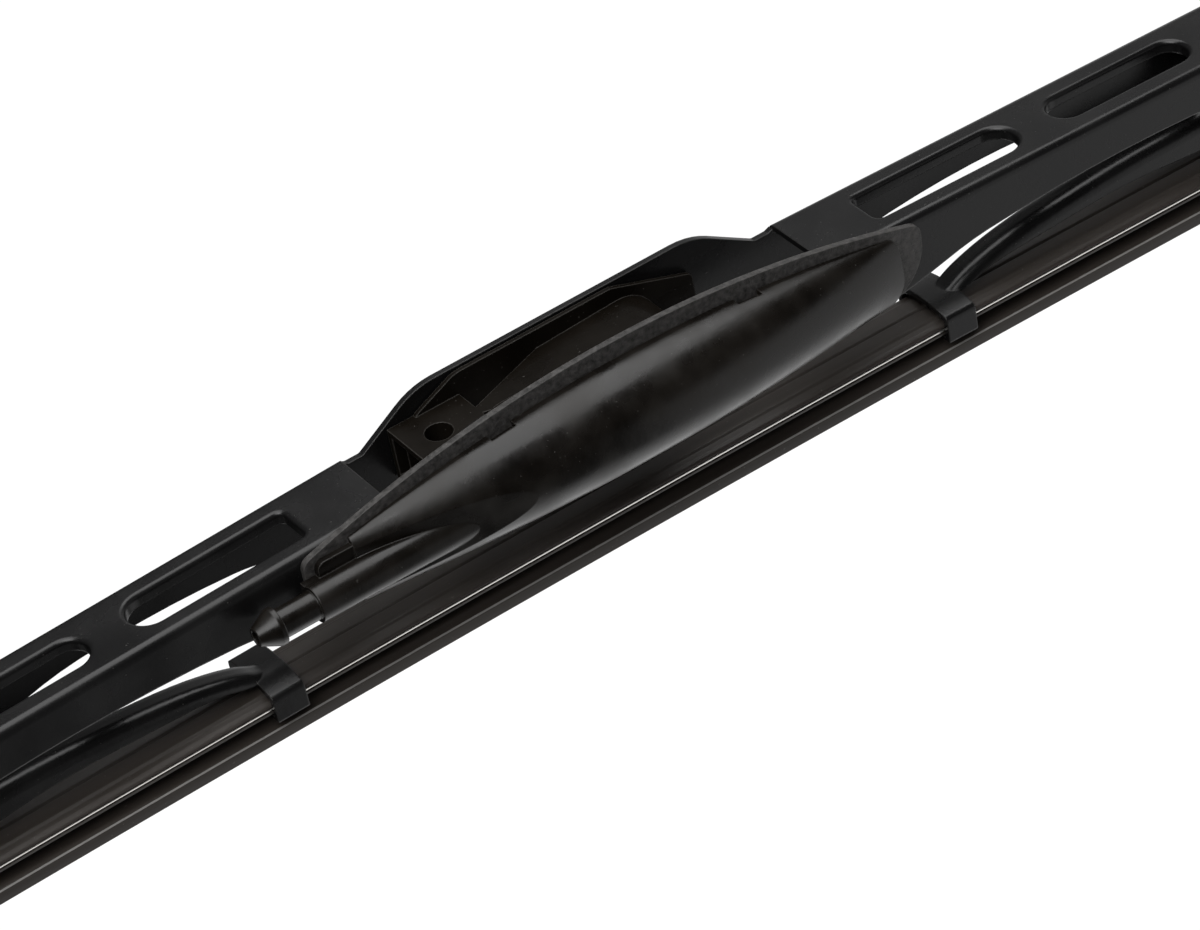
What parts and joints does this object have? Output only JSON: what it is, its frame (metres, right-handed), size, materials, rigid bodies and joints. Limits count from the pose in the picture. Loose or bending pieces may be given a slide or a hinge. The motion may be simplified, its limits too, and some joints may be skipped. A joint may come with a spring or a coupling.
{
  "type": "wiper blade",
  "caption": "Bridge-type windscreen wiper blade: pressed steel bridge and rocking yokes whose claws hold a rubber squeegee, with an arm adapter and a clip-on washer manifold.",
  "frame": {"origin": "middle of the cross pin on which the arm adapter turns, at the middle of the blade", "axes": "+X along the blade away from the hose barb, -Y towards the washer manifold, +Z away from the glass"},
  "size_m": [0.4498, 0.0282, 0.0489],
  "materials": {
    "painted_steel": "satin",
    "rail_steel": "satin",
    "rivet_steel": "satin",
    "rubber": "matte",
    "liner_plastic": "matte",
    "adapter_plastic": "satin",
    "plate_plastic": "matte",
    "hull_plastic": "satin"
  },
  "bodies": {
    "adapter": {"arm_adapter": "adapter_plastic"},
    "bridge": {"primary_bridge": "painted_steel", "arm_pivot_rivet": "rivet_steel", "manifold_backplate": "plate_plastic", "manifold_hull": "hull_plastic", "yoke_rivet_left": "rivet_steel", "yoke_rivet_right": "rivet_steel", "yoke_liner_left": "liner_plastic", "yoke_liner_right": "liner_plastic", "wiper_rubber": "rubber", "rail_near": "rail_steel", "rail_far": "rail_steel"},
    "yoke_left_rocker": {"yoke_left": "painted_steel"},
    "yoke_right_rocker": {"yoke_right": "painted_steel"}
  },
  "joints": [
    {"name": "adapter_pivot", "type": "hinge", "parent": "adapter", "child": "bridge", "pos_m": [0, 0, 0], "axis": [0, 1, 0], "range_deg": [-20, 20]},
    {"name": "yoke_left_pivot", "type": "hinge", "parent": "bridge", "child": "yoke_left_rocker", "pos_m": [-0.13, 0, -0.01], "axis": [0, 1, 0], "range_deg": [-4, 4], "stiffness_Nm_per_rad": 0.8, "deforming": ["wiper_rubber", "rail_near", "rail_far"]},
    {"name": "yoke_right_pivot", "type": "hinge", "parent": "bridge", "child": "yoke_right_rocker", "pos_m": [0.13, 0, -0.01], "axis": [0, 1, 0], "range_deg": [-4, 4], "stiffness_Nm_per_rad": 0.8, "deforming": ["wiper_rubber", "rail_near", "rail_far"]}
  ]
}
